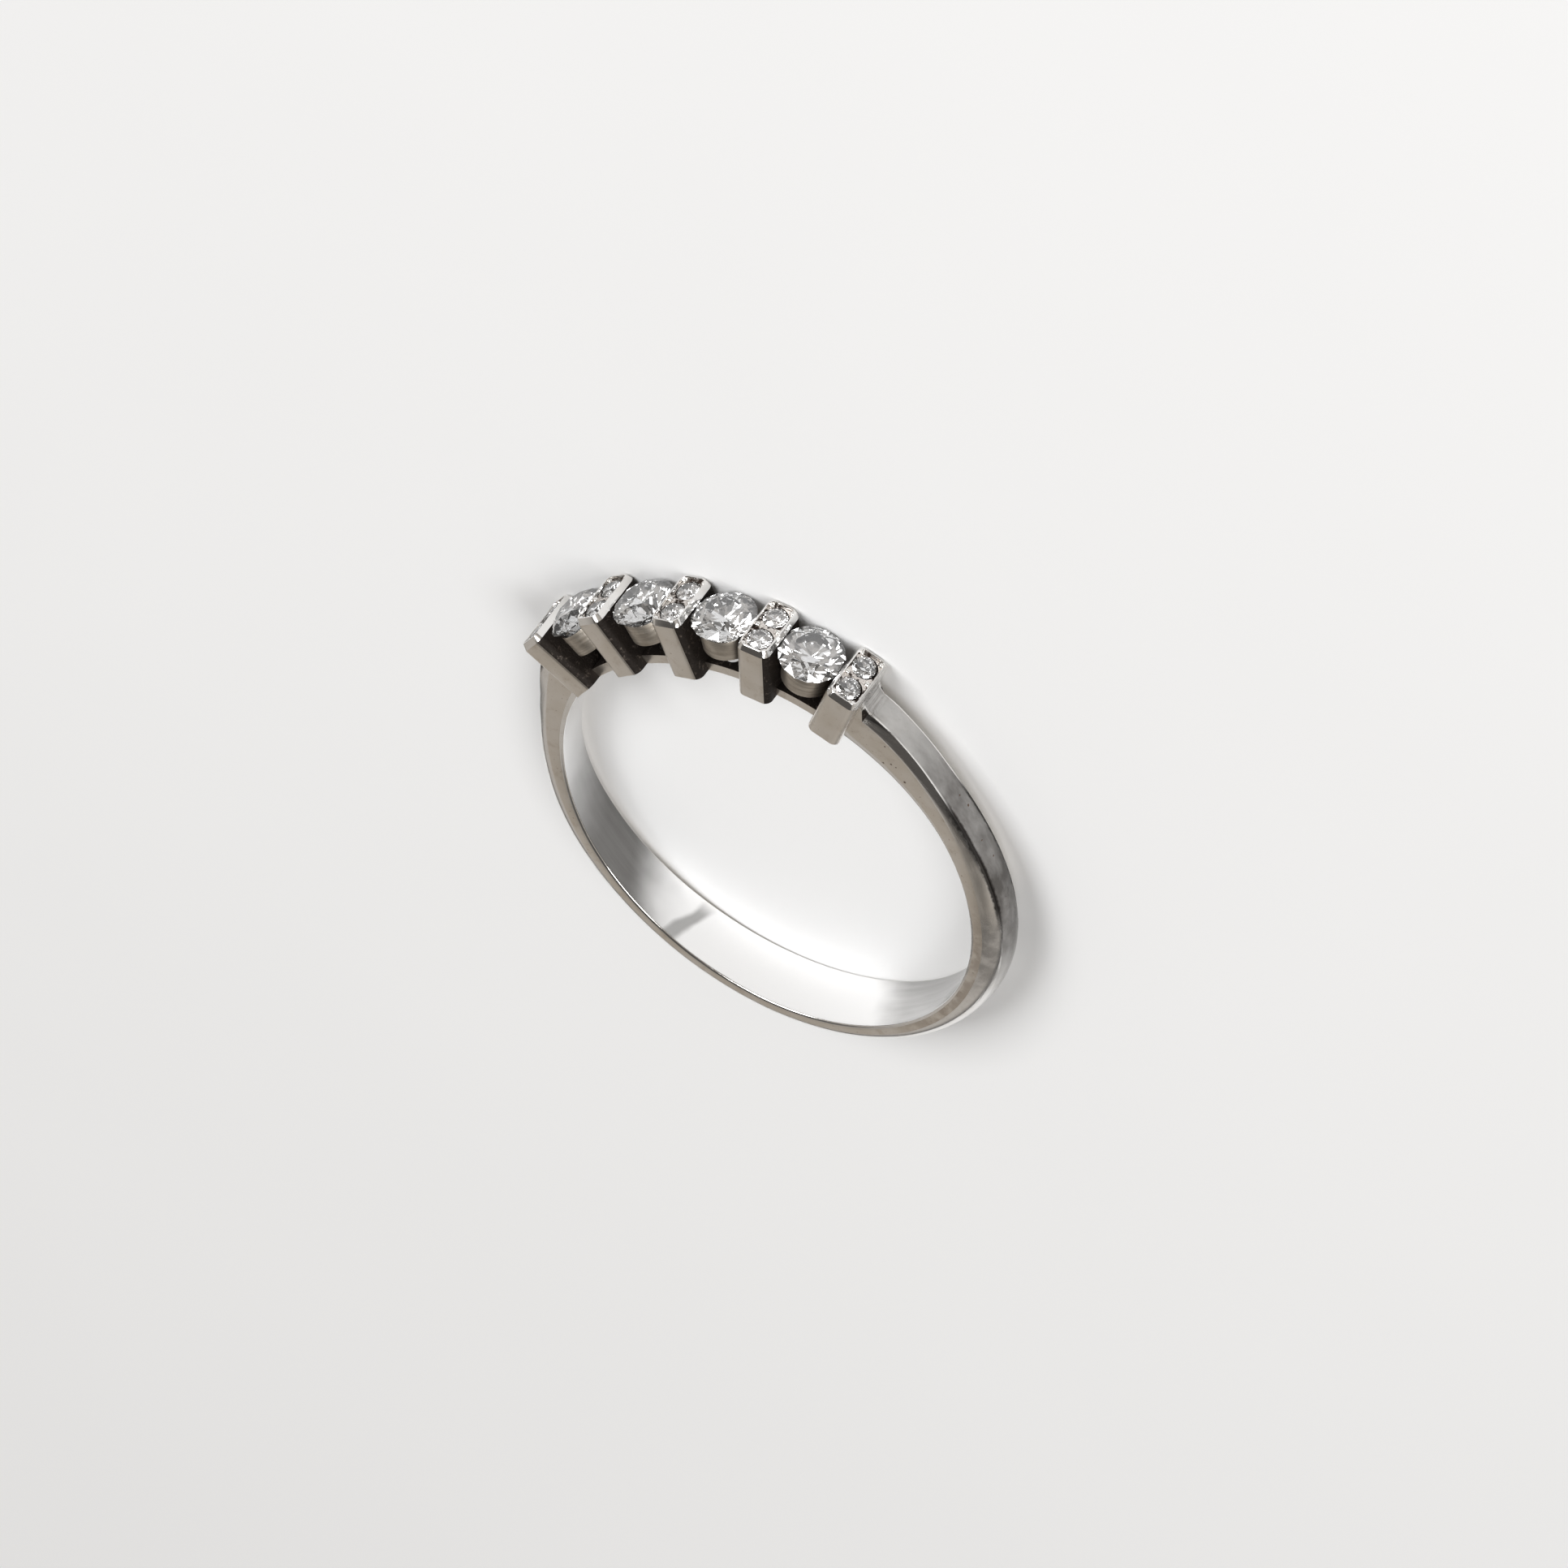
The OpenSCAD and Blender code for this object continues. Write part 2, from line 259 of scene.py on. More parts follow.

# Polished, on the shank's crown and bevels and on the bars' ends. Painted shade, standing for dark
# reflections, darkens the crown, with a painted highlight left along its crease. Painted shade also
# lies along the bevel's crease towards -X and in both notches, and file marks are left beside the
# outer bars.
polished, mm = new_metal("polished_white_gold")
angle, radius, z = round_the_ring(mm)
# Angle, radius and height of each pit, and its share of the size
outer_pits = [
    (61.8, 9.85, -0.25, 1.0), (69.4, 9.75, -0.12, 0.9), (72.6, 9.7, -0.2, 1.3),
    (80.8, 9.65, 0.1, 0.8), (86.0, 9.62, -0.05, 1.0), (66.9, 9.62, 0.53, 1.6),
    (97.0, 9.6, 0.1, 0.7), (103.0, 9.6, -0.3, 0.6)]
pits = spots(mm, outer_pits, size=0.05)
lines = scratches(mm, along=1.0, across=11)
smear = fade(noise(mm, 1.1, detail=3.0), 0.48, 0.7)
crossing = fade(noise(mm, 14.0, detail=2.0), 0.63, 0.7)
# Shoulder is the angle to either side of the head, and from_crease is how far outside the
# bevel's crease a place lies, in mm.
crease_height, crease_rise = 0.53, 0.04
shoulder = angle.math("ABSOLUTE")
from_crease = z.math("ABSOLUTE") - crease_height - crease_rise * fade(shoulder, 58, 80)
on_crown = (1 - fade(from_crease, -0.02, 0.01)) * fade(shoulder, 40.5, 42.0)
# A painted highlight: the crown's painted shade is left off along the crease
crease_painted_highlight = fade(from_crease, -0.07, -0.02) * (1 - fade(shoulder, 66, 72))
shade = fade(angle, 84, 92) * (1 - fade(angle, 98, 108))
# Painted shade: dark reflections painted onto the crown, deeper from 50 degrees on
crown_painted_shade = on_crown * (0.53 + 0.3 * fade(shoulder, 50, 68) + 0.12 * shade) * (1 - crease_painted_highlight)
cloudy = stretched_noise(angle * 0.14, radius, z * 1.6, 3.0)
crown_painted_shade = crown_painted_shade * (1 - fade(shoulder, 110, 136) * 0.75) * (0.6 + 0.8 * cloudy)
mottled = fade(noise(mm, 1.5, detail=5.0, roughness=0.6), 0.35, 0.65)
# Wear, which also adds painted shade to the crown between about 90 and 134 degrees
wear_and_painted_shade = fade(angle, 90, 102) * (1 - fade(angle, 118, 134))
crown_painted_shade = crown_painted_shade.math("MAXIMUM", wear_and_painted_shade * (0.3 + 0.28 * mottled))
flank = fade(from_crease, 0.06, 0.12) * fade(angle, 66, 84) * (1 - fade(angle, 96, 106))
ragged = from_crease + (noise(mm, 5.0, detail=4.0) - 0.5) * 0.12
# Painted shade: a ragged dark band along the bevel's crease, towards -X
painted_crease_and_notch_shade = fade(ragged, -0.14, -0.05) * (1 - fade(ragged, 0.04, 0.1))
painted_crease_and_notch_shade = painted_crease_and_notch_shade * fade(angle, 64, 72) * (1 - fade(angle, 98, 106))
# The notches get painted shade too
notch = (1 - fade(from_crease + (shoulder - 42.5) * 0.012, 0.07, 0.11)) * fade(shoulder, 42.2, 42.5)
painted_crease_and_notch_shade = painted_crease_and_notch_shade.math("MAXIMUM", notch * fade(from_crease, 0.0, 0.015))
fillet = fade(shoulder, 40.3, 40.7) * (1 - fade(shoulder, 43.6, 45.6)) * fade(radius, 9.2, 9.6)
file_marks = fillet * fade(stretched_noise(angle * 2.5, radius * 12, z * 0.4, 3.0), 0.42, 0.62)
colour = blend(smear * 0.4, (0.90, 0.885, 0.865), (0.78, 0.745, 0.70))
# Painted shade on the crown
colour = blend(crown_painted_shade, colour, (0.12, 0.112, 0.105))
colour = blend(flank * 0.7, colour, (0.78, 0.73, 0.66))
colour = blend(file_marks * 0.5, colour, (0.26, 0.245, 0.23))
# Painted shade along the bevel's crease and in the notches
colour = blend(painted_crease_and_notch_shade * 0.92, colour, (0.022, 0.019, 0.017))
colour = blend(pits.math("MAXIMUM", crossing * 0.15), colour, (0.16, 0.11, 0.08))
rough = 0.09 + smear * 0.07 + lines * 0.08 + wear_and_painted_shade * mottled * 0.14 + pits * 0.3
rough = rough + fillet * 0.14 + flank * 0.22 + painted_crease_and_notch_shade * 0.25
relief = file_marks * -2.0 - lines * 0.3 - pits * 2.5 + smear * 0.3 - wear_and_painted_shade * mottled * 0.3
finish_metal(polished, colour, rough, relief, depth=0.004)

# Bright, inside the finger hole, with dark reflections painted on as thin films
bright, mm = new_metal("bright_bore")
angle, radius, z = round_the_ring(mm)
cloud = noise(mm, 0.55, detail=2.0)
wave = angle + (cloud - 0.5) * 10 + z * 4
streak = stretched_noise(angle * 0.05, radius, z * 5.0, 2.0)
# Painted reflections: dark films on the bore to the left and right, with a fold and a blotch
left_painted_reflection = fade(wave, -132, -112) * (1 - fade(wave, -102, -62)) * (0.87 + 0.1 * streak)
leaning = angle + (cloud - 0.5) * 4 - z * 2.2
painted_fold_reflection = fade(leaning, -136, -134) * (1 - fade(leaning, -132.4, -130.6)) * fade(z, -1.2, -0.4)
painted_blotch_reflection = fade(leaning, -125, -121) * (1 - fade(leaning, -119, -116)) * fade(z, -0.3, 0.3)
right_painted_reflection = fade(wave, 104, 124) * (1 - fade(wave, 160, 173)) * (0.45 + 0.25 * streak)
painted_reflection = left_painted_reflection.math("MAXIMUM", painted_fold_reflection * 0.62).math("MAXIMUM", painted_blotch_reflection * 0.4)
painted_reflection = painted_reflection.math("MAXIMUM", right_painted_reflection)
lines = scratches(mm, along=0.8, across=13)
# The painted reflections darken the bore's colour
colour = blend(painted_reflection, (0.98, 0.975, 0.97), (0.13, 0.125, 0.118))
rough = 0.1 + cloud * 0.06 + lines * 0.07 + painted_reflection * 0.06
finish_metal(bright, colour, rough, lines * -0.3 + cloud * 1.5, depth=0.003)

# Black grime and painted shade, with paler patches, between the bars, round the small stones and in the
# notches
grime_and_shade, mm = new_metal("grimy_recess")
patch = fade(noise(mm, 5.0, detail=5.0, roughness=0.7), 0.56, 0.72)
colour = blend(patch, (0.018, 0.013, 0.010), (0.16, 0.13, 0.11))
grime = noise(mm, 14.0, detail=4.0)
finish_metal(grime_and_shade, colour, 0.62 - patch * 0.25, grime, depth=0.03)
grime_and_shade.node_tree.nodes["Principled BSDF"].inputs["Metallic"].default_value = 0.6

# Metal that the setter's tool has cut up, in the fields of the bars
worked, mm = new_metal("worked_grain")
grain = fade(noise(mm, 4.5, detail=3.0, roughness=0.6), 0.4, 0.52)
colour = blend(grain, (0.05, 0.035, 0.028), (0.80, 0.75, 0.71))
finish_metal(worked, colour, 0.5 - grain * 0.3, grain + noise(mm, 12.0), depth=0.05)

metals = [satin, polished, bright, grime_and_shade, worked]
SATIN, POLISHED, BRIGHT, GRIME_AND_SHADE, WORKED = range(5)


# The shank
# One bar of white gold, rounded on the outside and flat inside. Towards the head it narrows
# and grows taller, and a bevel is filed along both its edges, up to the outer bars.
bore_r = frame["record"]["mounts"][0]["dims"]["r_mm"]
bar_top_r = -band_low.y / MM
half_bar_l = band_high.z / MM


def box_angle(node):
    """Angle of a node's middle round the finger hole, from -Y towards -X."""
    low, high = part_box(node)
    middle = (low + high) / 2
    return math.atan2(-middle.x, -middle.y)


pitch = abs(box_angle("main_stone_2") - box_angle("main_stone_1"))
stone_count = sum(name.startswith("main_stone") for name in frame["nodes"])
bar_count = stone_count + 1
# From the head's middle to the middle of an outer bar
head_angle = pitch * stone_count / 2


def place_at(radius, angle, z):
    """A point at a radius from the finger hole's axis and an angle from the head's middle."""
    return Vector((-radius * math.sin(angle), -radius * math.cos(angle), z))


def pick(piece):
    """Selects a piece and nothing else."""
    bpy.ops.object.select_all(action="DESELECT")
    piece.select_set(True)
    bpy.context.view_layer.objects.active = piece


def open_whole(piece):
    """Opens a piece in edit mode with all of it selected."""
    pick(piece)
    bpy.ops.object.mode_set(mode="EDIT")
    bpy.ops.mesh.select_all(action="SELECT")


def finish_piece(piece, soft_up_to):
    """Shrinks a piece from millimetres to metres and makes it part of the ring.

    Its edges are smoothed up to an angle in degrees, and sharper ones stay crisp."""
    pick(piece)
    piece.scale = (MM, MM, MM)
    bpy.ops.object.transform_apply(location=True, rotation=True, scale=True)
    bpy.ops.object.shade_smooth_by_angle(angle=math.radians(soft_up_to))
    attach(piece, "root")
    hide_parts("band")


def apply_modifier(piece, kind, **settings):
    """Adds a modifier to a piece with its settings, and applies it."""
    modifier = piece.modifiers.new(kind.lower(), kind)
    for key, value in settings.items():
        setattr(modifier, key, value)
    bpy.context.view_layer.objects.active = piece
    bpy.ops.object.modifier_apply(modifier=modifier.name)


neck_w, base_w, base_t, shoulder_h, bar_h = 1.3, 2 * half_bar_l, 1.14, 2.05, bar_top_r - bore_r
bar_w = 1.28
low_side = 0.44
edge_wear, edge_flat = 0.05, 0.15
crown_fullness = 0.75
shoulder_angle = head_angle + math.asin(bar_w / 2 / bar_top_r)
# Each row is a section, from the outer bar at way 0 round to the base at way 1. Wide goes from
# the neck's width to the base's, rise from the base's height to the shoulder's, and climb on to
# the bar's. Side, edge and crease are shares of the height, and edge_in and crease_in of half
# the width. Lower is the share of low_side that the lower shoulder loses, and sharp is how crisp
# the bevel's lines stay.
#    way    wide  rise  climb side  edge edge_in crease crease_in lower sharp
shank_rows = [
    (0.000, 0.00, 1.00, 0.62, 0.92, 0.97, 0.98, 0.99, 0.94, 0.00, 0.9),
    (0.002, 0.00, 1.00, 0.44, 0.92, 0.97, 0.98, 0.99, 0.94, 0.04, 0.9),
    (0.004, 0.00, 1.00, 0.28, 0.92, 0.97, 0.98, 0.99, 0.94, 0.08, 0.9),
    (0.007, 0.00, 1.00, 0.14, 0.92, 0.97, 0.98, 0.99, 0.94, 0.14, 1.0),
    (0.016, 0.00, 1.00, 0.00, 0.71, 0.74, 0.99, 0.96, 0.82, 0.28, 1.0),
    (0.041, 0.00, 0.97, 0.00, 0.72, 0.75, 0.99, 0.96, 0.82, 0.55, 0.8),
    (0.106, 0.00, 0.64, 0.00, 0.71, 0.76, 0.98, 0.96, 0.81, 1.00, 0.8),
    (0.164, 0.03, 0.33, 0.00, 0.68, 0.78, 0.97, 0.95, 0.82, 0.80, 0.8),
    (0.221, 0.07, 0.15, 0.00, 0.62, 0.80, 0.96, 0.94, 0.83, 0.60, 0.8),
    (0.279, 0.15, 0.09, 0.00, 0.54, 0.78, 0.93, 0.92, 0.78, 0.45, 0.7),
    (0.351, 0.30, 0.07, 0.00, 0.45, 0.74, 0.90, 0.90, 0.70, 0.15, 0.3),
    (0.424, 0.47, 0.06, 0.00, 0.40, 0.71, 0.87, 0.90, 0.62, 0.00, 0.1),
    (0.567, 0.66, 0.04, 0.00, 0.37, 0.71, 0.84, 0.91, 0.55, 0.00, 0.0),
    (0.711, 0.83, 0.00, 0.00, 0.37, 0.71, 0.84, 0.92, 0.48, 0.00, 0.0),
    (0.856, 0.95, 0.00, 0.00, 0.37, 0.71, 0.84, 0.92, 0.48, 0.00, 0.0),
    (1.000, 1.00, 0.00, 0.00, 0.37, 0.71, 0.84, 0.92, 0.48, 0.00, 0.0),
]


def shank_shares(way):
    """The shares of a section anywhere between two rows."""
    for low, high in zip(shank_rows, shank_rows[1:]):
        if way <= high[0]:
            t = (way - low[0]) / (high[0] - low[0])
            return [a + (b - a) * t for a, b in zip(low, high)]


def shank_section(way, hand):
    """The upper half of a section: corners from the bore's middle round to the crown.

    Hand is 1 towards -X, and -1 towards +X, where the shoulder is lower."""
    _, wide, rise, climb, side, edge, edge_in, crease, crease_in, lower, _ = shank_shares(way)
    half = (neck_w + (base_w - neck_w) * wide) / 2
    thick = base_t + (shoulder_h - base_t) * rise + (bar_h - shoulder_h) * climb
    if hand < 0:
        thick -= low_side * lower
    angle = hand * (shoulder_angle + (math.pi - shoulder_angle) * way)
    crease_h, crease_z = thick * crease, half * crease_in
    corners = [(0, 0), (0, half - edge_flat), (0, half - edge_wear), (edge_wear, half),
               (thick * side, half), (thick * edge, half * edge_in), (crease_h, crease_z),
               (crease_h + (thick - crease_h) * crown_fullness, crease_z / 2), (thick, 0)]
    return [place_at(bore_r + height, angle, z) for height, z in corners]


# The ways of all the sections: the rows, with more between them where they are far apart
longest_step = 0.04
ways = [0.0]
for row in shank_rows[1:]:
    steps = math.ceil((row[0] - ways[-1]) / longest_step - 1e-6)
    start = ways[-1]
    ways += [start + (row[0] - start) * (k + 1) / steps for k in range(steps)]
# The sections from the outer bar towards -X, round the base, to the other one
stations = [(way, 1) for way in ways] + [(way, -1) for way in ways[-2::-1]]
# The bevel starts in a notch between these two rows
notch_ways = (0.007, 0.016)
# The metal of each strip from the bore round to the crown, and the corners beside the bevel
side_metals = [BRIGHT, BRIGHT, POLISHED, SATIN, POLISHED, POLISHED, POLISHED, POLISHED]
side_column, crease_column = 4, 6

bpy.ops.object.select_all(action="DESELECT")
bpy.ops.mesh.primitive_grid_add(x_subdivisions=len(side_metals), y_subdivisions=len(stations) - 1, size=1)
shank = bpy.context.object
shank.name = "shank"
grid_xy = [(round(v.co.x, 4), round(v.co.y, 4)) for v in shank.data.vertices]
across, along = [sorted({xy[k] for xy in grid_xy}) for k in (0, 1)]
grid_place = [(across.index(x), along.index(y)) for x, y in grid_xy]
for point, (column, line) in zip(shank.data.vertices, grid_place):
    point.co = shank_section(*stations[line])[column]
crease = shank.data.attributes.new("crease_edge", "FLOAT", "EDGE")
for edge in shank.data.edges:
    (column_a, line_a), (column_b, line_b) = (grid_place[i] for i in edge.vertices)
    column, way = min(column_a, column_b), min(stations[line_a][0], stations[line_b][0])
    *_, sharp = shank_shares(way)
    if column_a == column_b and column in (side_column, crease_column):
        crease.data[edge.index].value = sharp
    elif line_a == line_b and way in notch_ways and side_column <= column < crease_column:
        crease.data[edge.index].value = 1
for metal in metals:
    shank.data.materials.append(metal)
for face in shank.data.polygons:
    column = min(grid_place[i][0] for i in face.vertices)
    line = min(grid_place[i][1] for i in face.vertices)
    in_notch = min(stations[line][0], stations[line + 1][0]) == notch_ways[0]
    on_bevel = side_column <= column < crease_column
    face.material_index = GRIME_AND_SHADE if in_notch and on_bevel else side_metals[column]
open_whole(shank)
bpy.ops.mesh.normals_make_consistent(inside=False)
bpy.ops.object.mode_set(mode="OBJECT")
apply_modifier(shank, "MIRROR", use_axis=(False, False, True), merge_threshold=1e-4)
apply_modifier(shank, "SUBSURF", levels=2, render_levels=2)
# The open ends lie inside the outer bars, and are closed there
open_whole(shank)
bpy.ops.mesh.fill_holes(sides=0)
bpy.ops.object.mode_set(mode="OBJECT")
finish_piece(shank, soft_up_to=30)


# The bars
# Five upright bars, cast with the band, with satin fronts. The outer end of each has a steep
# polished bevel and a raised rim round a sunk field, where beads of metal hold two small stones.
stone_low, stone_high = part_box("main_stone_1")
stone_d = (stone_high.z - stone_low.z) / MM
small_low, small_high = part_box("bar_stone_5")
small_d = (small_high.z - small_low.z) / MM
small_pitch = abs(small_low.z + small_high.z) / MM
bar_corner, bar_bevel, bevel_h, side_bevel = 0.3, 0.1, 0.25, 0.09
rim_t, field_depth, bead_r, bead_bite = 0.055, 0.14, 0.11, 0.03
crown_share, pavilion_share, girdle_share, table_share, culet_share = 0.15, 0.43, 0.02, 0.56, 0.02
seat_gap, hair, edge_round, bore_spare = 0.02, 0.001, 0.025, 0.2
shelf_r = bar_top_r - bevel_h
field_r = bar_top_r - field_depth


def start_piece(add, name, **settings):
    """Adds a primitive with nothing else selected, with its place applied."""
    bpy.ops.object.select_all(action="DESELECT")
    add(**settings)
    piece = bpy.context.object
    piece.name = name
    bpy.ops.object.transform_apply(location=True, rotation=True, scale=True)
    return piece


def edit_faces(piece, chosen):
    """Opens a piece in edit mode with only the chosen faces selected."""
    pick(piece)
    bpy.ops.object.mode_set(mode="EDIT")
    bpy.ops.mesh.select_mode(type="FACE")
    bpy.ops.mesh.select_all(action="DESELECT")
    mesh = bmesh.from_edit_mesh(piece.data)
    for face in mesh.faces:
        face.select_set(chosen(face))
    bmesh.update_edit_mesh(piece.data)


def turned_cutter(radius, low, high):
    """A round cutter pointing out from the finger hole, between two radii."""
    return start_piece(bpy.ops.mesh.primitive_cylinder_add, "cutter", vertices=48, radius=radius,
                       depth=high - low, location=(0, -(low + high) / 2, 0),
                       rotation=(math.pi / 2, 0, 0))


def stone_seat(diameter, girdle_r, z):
    """A turned cutter with the outline of a round stone and its gap."""
    cutter = turned_cutter(diameter / 2 + seat_gap, girdle_r - girdle_share * diameter - seat_gap,
                           girdle_r + seat_gap)
    for way, rise, end in ((-1, crown_share, table_share), (1, pavilion_share, culet_share)):
        edit_faces(cutter, lambda face: face.normal.y * way > 0.9)
        bpy.ops.mesh.extrude_region_move(TRANSFORM_OT_translate={"value": (0, way * rise * diameter, 0)})
        bpy.ops.transform.resize(value=(end, 1, end), center_override=(0, 0, 0))
        bpy.ops.object.mode_set(mode="OBJECT")
    cutter.location.z = z
    bpy.ops.object.transform_apply(location=True, rotation=True, scale=True)
    return cutter


def turn(piece, angle):
    """Turns a piece round the finger hole by an angle of the head, and applies it."""
    pick(piece)
    piece.rotation_euler = (0, 0, -angle)
    bpy.ops.object.transform_apply(location=True, rotation=True, scale=True)


def cut(piece, cutter):
    """Cuts a piece with a cutter, and merges points that the cut leaves within a hair of each other."""
    apply_modifier(piece, "BOOLEAN", operation="DIFFERENCE", object=cutter, solver="EXACT")
    bpy.data.objects.remove(cutter)
    open_whole(piece)
    bpy.ops.mesh.remove_doubles(threshold=hair)
    bpy.ops.object.mode_set(mode="OBJECT")


def copy_of(piece, name):
    """A copy of a piece with a mesh of its own."""
    copied = piece.copy()
    copied.data = piece.data.copy()
    copied.name = name
    bpy.context.scene.collection.objects.link(copied)
    return copied


def lay_metals(piece, choose, *own):
    """Gives each face the metal that choose picks by its centre and normal. Own follows the others."""
    piece.data.materials.clear()
    for metal in metals + list(own):
        piece.data.materials.append(metal)
    for face in piece.data.polygons:
        face.material_index = choose(face.center, face.normal)


bar_foot = bore_r - bore_spare
bar = start_piece(bpy.ops.mesh.primitive_cube_add, "bar", size=1,
                  location=(0, -(bar_foot + shelf_r) / 2, 0),
                  scale=(bar_w, shelf_r - bar_foot, 2 * half_bar_l))
bpy.ops.object.mode_set(mode="EDIT")
bpy.ops.mesh.select_mode(type="EDGE")
bpy.ops.mesh.select_all(action="DESELECT")
mesh = bmesh.from_edit_mesh(bar.data)
for edge in mesh.edges:
    edge.select_set(abs(edge.verts[0].co.y - edge.verts[1].co.y) > 0.5)
bmesh.update_edit_mesh(bar.data)
bpy.ops.mesh.bevel(offset=bar_corner, offset_type="OFFSET", segments=8, affect="EDGES")
bpy.ops.object.mode_set(mode="OBJECT")
# The bevelled outer end, then its rim and the sunk field
edit_faces(bar, lambda face: face.normal.y < -0.9)
bpy.ops.mesh.extrude_region_move(TRANSFORM_OT_translate={"value": (0, -bevel_h, 0)})
bpy.ops.transform.resize(value=(1 - 2 * side_bevel / bar_w, 1, 1 - bar_bevel / half_bar_l),
                         center_override=(0, 0, 0))
bpy.ops.mesh.inset(thickness=rim_t)
bpy.ops.mesh.extrude_region_move(TRANSFORM_OT_translate={"value": (0, field_depth, 0)})
bpy.ops.object.mode_set(mode="OBJECT")
apply_modifier(bar, "BEVEL", width=edge_round, segments=2, limit_method="ANGLE",
               angle_limit=math.radians(35))
for way in (-1, 1):
    cut(bar, stone_seat(small_d, field_r, way * small_pitch / 2))
cut(bar, start_piece(bpy.ops.mesh.primitive_cylinder_add, "cutter", vertices=256, radius=bore_r,
                     depth=4 * half_bar_l))

field_w = bar_w / 2 - side_bevel - rim_t
field_l = half_bar_l - bar_bevel - rim_t
bead_x, bead_z = field_w - bead_r + bead_bite, field_l - bead_r + bead_bite
girdle_r = bar_top_r - crown_share * stone_d


def bar_metal(outer_side):
    """Picks the metal of a bar's face. Outer_side is the side that no stone faces, or 0.

    The satin front ends in a crisp line where a bar's corner towards -X is painted black with grime and
    shade."""
    def choose(centre, normal):
        radius = -centre.y
        inside = abs(centre.x) < field_w + 0.01 and abs(centre.z) < field_l + 0.01
        if normal.y > 0.7 and radius < bore_r + 0.1:
            return BRIGHT
        if inside and radius > field_r - small_d / 2 and abs(normal.z) < 0.999:
            if normal.y < -0.9 and radius < field_r + 0.02:
                return WORKED
            return POLISHED if radius > field_r + 0.02 else GRIME_AND_SHADE
        if radius > shelf_r - 0.01:
            return POLISHED
        # Painted shade: the rounded corner towards -X gets the black metal instead of satin
        painted_dark_corner = normal.x < 0 and outer_side >= 0
        if abs(normal.z) > (0.93 if painted_dark_corner else 0.35):
            return SATIN
        return POLISHED if normal.x * outer_side > 0 else GRIME_AND_SHADE
    return choose


# Each bar is cut by the seats of the stones beside it, and then turned to its place
for i in range(bar_count):
    piece = copy_of(bar, "bar_%d" % (i + 1))
    for side in (-1, 1):
        if 0 <= i + (side - 1) / 2 < stone_count:
            cutter = stone_seat(stone_d, girdle_r, 0)
            turn(cutter, side * pitch / 2)
            cut(piece, cutter)
    lay_metals(piece, bar_metal({0: 1, bar_count - 1: -1}.get(i, 0)))
    turn(piece, (i - (bar_count - 1) / 2) * pitch)
    finish_piece(piece, soft_up_to=18)
bpy.data.objects.remove(bar)

bead = start_piece(bpy.ops.mesh.primitive_uv_sphere_add, "bead", segments=20, ring_count=12, radius=bead_r)
bead_places = [(x, z) for x in (-bead_x, bead_x) for z in (-bead_z, 0, bead_z)]
for i in range(bar_count):
    for j, (x, z) in enumerate(bead_places):
        piece = copy_of(bead, "bead_%d_%d" % (i + 1, j + 1))
        piece.location = (x, -field_r, z)
        pick(piece)
        bpy.ops.object.transform_apply(location=True, rotation=True, scale=True)
        lay_metals(piece, lambda centre, normal: POLISHED)
        turn(piece, (i - (bar_count - 1) / 2) * pitch)
        finish_piece(piece, soft_up_to=60)
bpy.data.objects.remove(bead)


# The foot band
# A thin flat strip of the same casting joins the feet of the bars. A light hole is drilled in it
# under each main stone.
foot_w, foot_t, window_d, drill_reach = 1.26, 0.37, 0.65, 1
foot_band = start_piece(bpy.ops.mesh.primitive_plane_add, "foot_band", size=1, rotation=(0, math.pi / 2, 0))
foot_band.scale = (1, foot_t, foot_w)
foot_band.location.y = -bore_r - foot_t / 2
bpy.ops.object.transform_apply(location=True, rotation=True, scale=True)
turn(foot_band, -head_angle)
# The flat section is spun from one outer bar to the other
open_whole(foot_band)
bpy.ops.mesh.spin(steps=72, angle=2 * head_angle, center=(0, 0, 0), axis=(0, 0, 1))
bpy.ops.mesh.select_all(action="SELECT")
bpy.ops.mesh.normals_make_consistent(inside=False)
bpy.ops.object.mode_set(mode="OBJECT")
for i in range(stone_count):
    cutter = turned_cutter(window_d / 2, bore_r - drill_reach, bore_r + drill_reach)
    turn(cutter, (i - (stone_count - 1) / 2) * pitch)
    cut(foot_band, cutter)


def foot_metal(centre, normal):
    """Bright inside the finger hole, satin at the edges and black between the bars."""
    if abs(normal.z) > 0.7:
        return SATIN
    return BRIGHT if math.hypot(centre.x, centre.y) < bore_r + 0.01 else GRIME_AND_SHADE


lay_metals(foot_band, foot_metal)
finish_piece(foot_band, soft_up_to=30)


# The cups
# Under each main stone a short turned cup of white gold takes the stone's point. Its sides are
# soldered to the bars, and a light hole goes through it.
cup_h, cup_bite, cup_hole_d, cup_reach, cup_round = 0.9, 0.05, 0.6, 0.7, 0.03
culet_r = girdle_r - (girdle_share + pavilion_share) * stone_d
cup_top_r = culet_r + cup_reach * (girdle_r - culet_r)
cup_foot_r = cup_top_r - cup_h
cup_r = cup_foot_r * math.sin(pitch / 2) - bar_w / 2 + cup_bite
cup = turned_cutter(cup_r, cup_foot_r, cup_top_r)
cup.name = "cup"
TURNED = len(metals)
apply_modifier(cup, "BEVEL", width=cup_round, segments=2, limit_method="ANGLE",
               angle_limit=math.radians(35))
cut(cup, stone_seat(stone_d, girdle_r, 0))
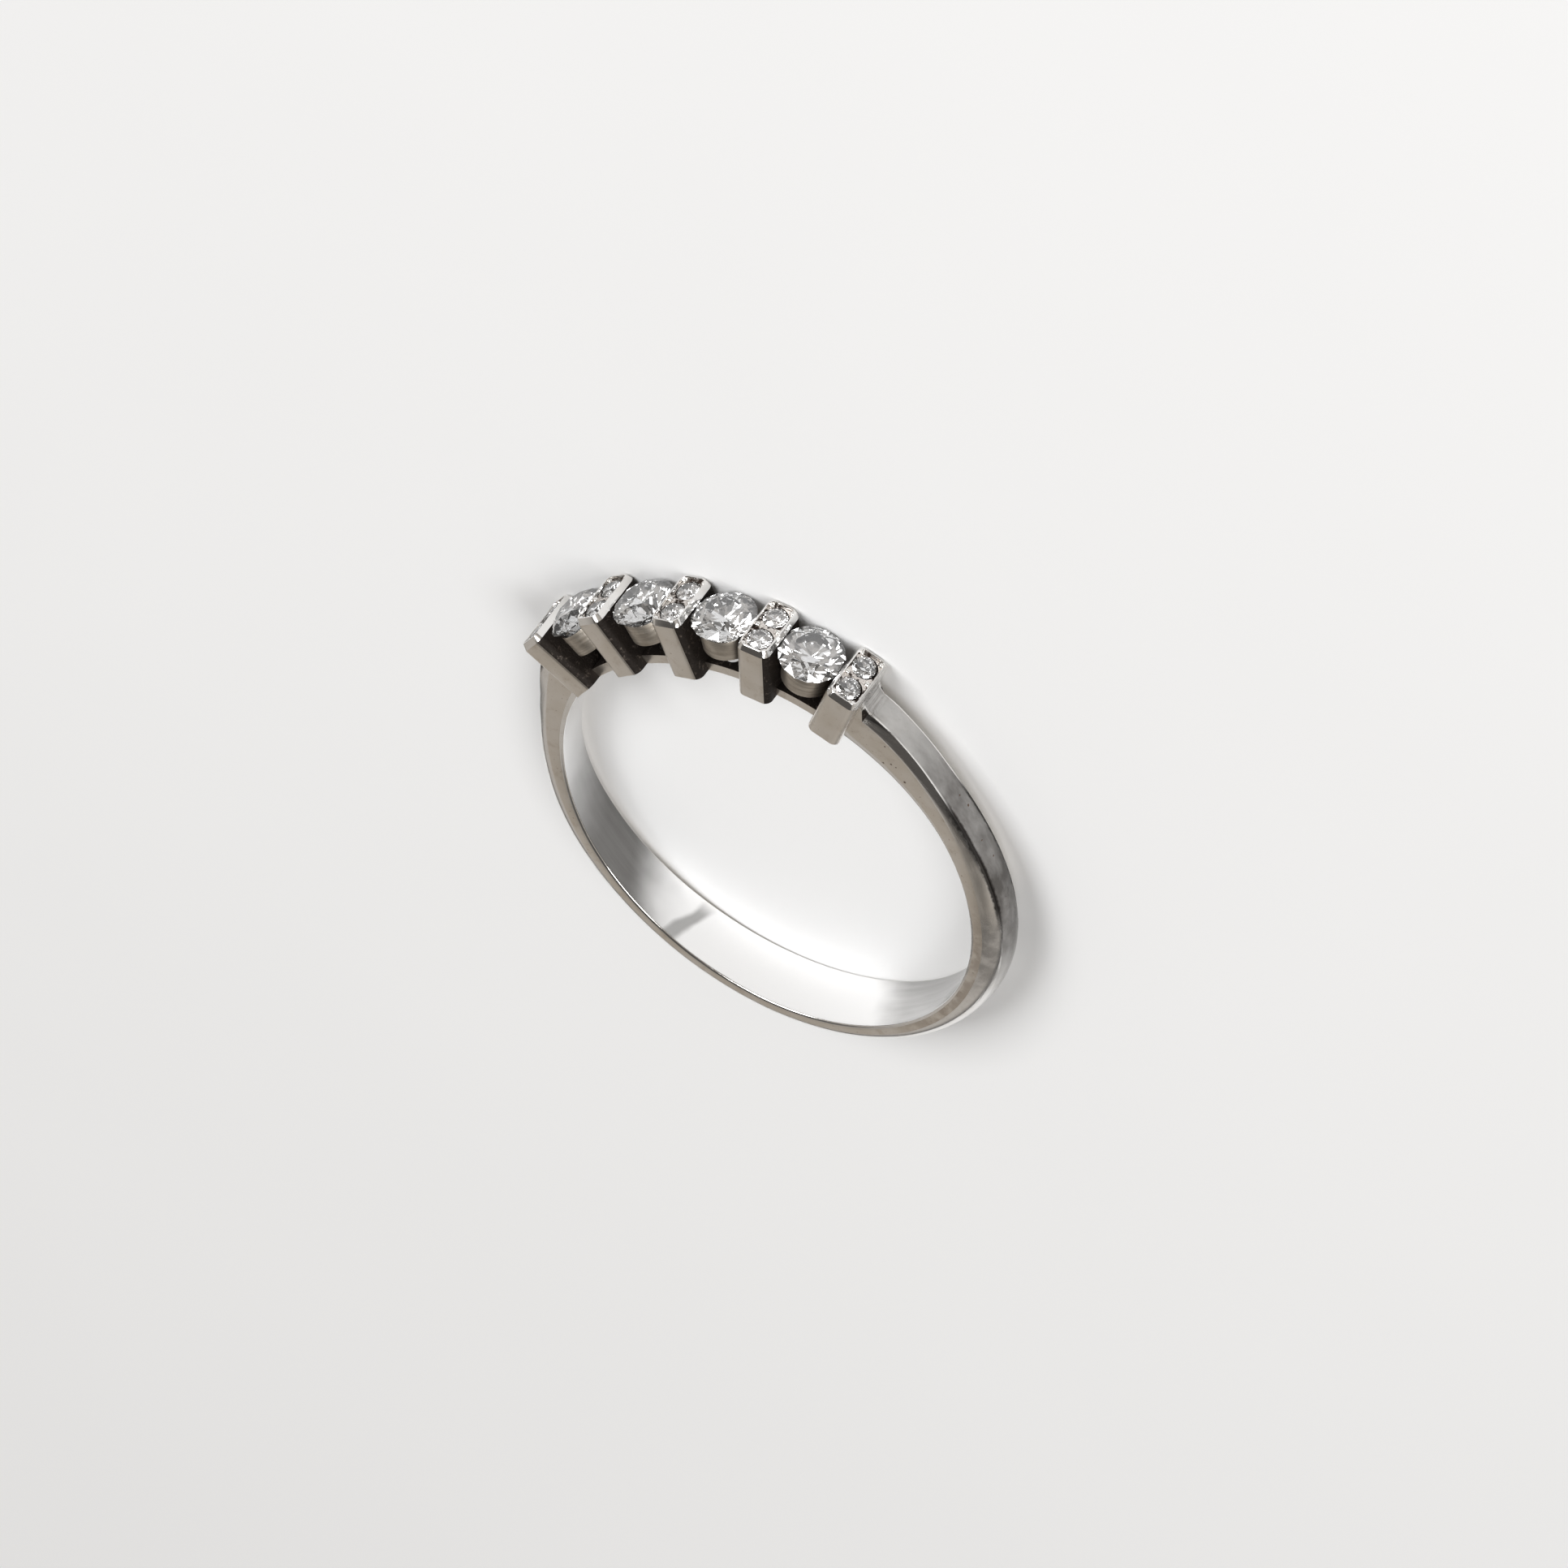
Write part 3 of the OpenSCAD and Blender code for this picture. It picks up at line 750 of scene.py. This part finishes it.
cut(cup, turned_cutter(cup_hole_d / 2, cup_foot_r - drill_reach / 2, cup_foot_r + drill_reach / 2))


def cup_metal(centre, normal):
    """Turned outside, polished where the stone sits and black underneath."""
    if math.hypot(centre.x, centre.z) > cup_r - cup_round - 0.01 and abs(normal.y) < 0.9:
        return TURNED
    return POLISHED if normal.y < -0.2 else GRIME_AND_SHADE


turned, mm = new_metal("turned_white_gold")
angle, radius, z = round_the_ring(mm)
lathe = stretched_noise(angle * 0.12, radius * 11, z * 1.2, 5.0)
stain = fade(noise(mm, 2.4, detail=4.0), 0.45, 0.7)
colour = blend(fade(lathe, 0.35, 0.65), (0.44, 0.395, 0.335), (0.64, 0.585, 0.51))
colour = blend(stain * 0.4, colour, (0.25, 0.20, 0.15))
finish_metal(turned, colour, 0.42 + stain * 0.12, lathe * 2.0, depth=0.006)

for i in range(stone_count):
    piece = copy_of(cup, "cup_%d" % (i + 1))
    lay_metals(piece, cup_metal, turned)
    turn(piece, (i - (stone_count - 1) / 2) * pitch)
    finish_piece(piece, soft_up_to=30)
bpy.data.objects.remove(cup)


# The stones
# Round brilliants of clear diamond, four large and ten small, each with a trace of a tint and a
# few fine inclusions. Their solids stay as they are, and only get their material here.
def cut_stone(name, tint, depth):
    """A clear faceted stone, mottled between two pale colours."""
    material = bpy.data.materials.new(name)
    material.use_nodes = True
    tree = material.node_tree
    shader = tree.nodes["Principled BSDF"]
    flaw = fade(noise(place_in_mm(tree), 2.2, detail=3.0), 0.5, 0.75)
    tree.links.new(blend(flaw * depth, (0.985, 0.99, 1.0), tint).socket, shader.inputs["Base Color"])
    shader.inputs["Roughness"].default_value = 0.0
    shader.inputs["IOR"].default_value = 2.42
    shader.inputs["Transmission Weight"].default_value = 0.97
    return material


main_diamond = cut_stone("main_diamond", (0.92, 0.94, 0.96), depth=0.8)
small_diamond = cut_stone("small_diamond", (0.88, 0.82, 0.80), depth=0.9)
for name, node in frame["nodes"].items():
    if name != "band":
        node.data.materials.clear()
        node.data.materials.append(main_diamond if name.startswith("main") else small_diamond)
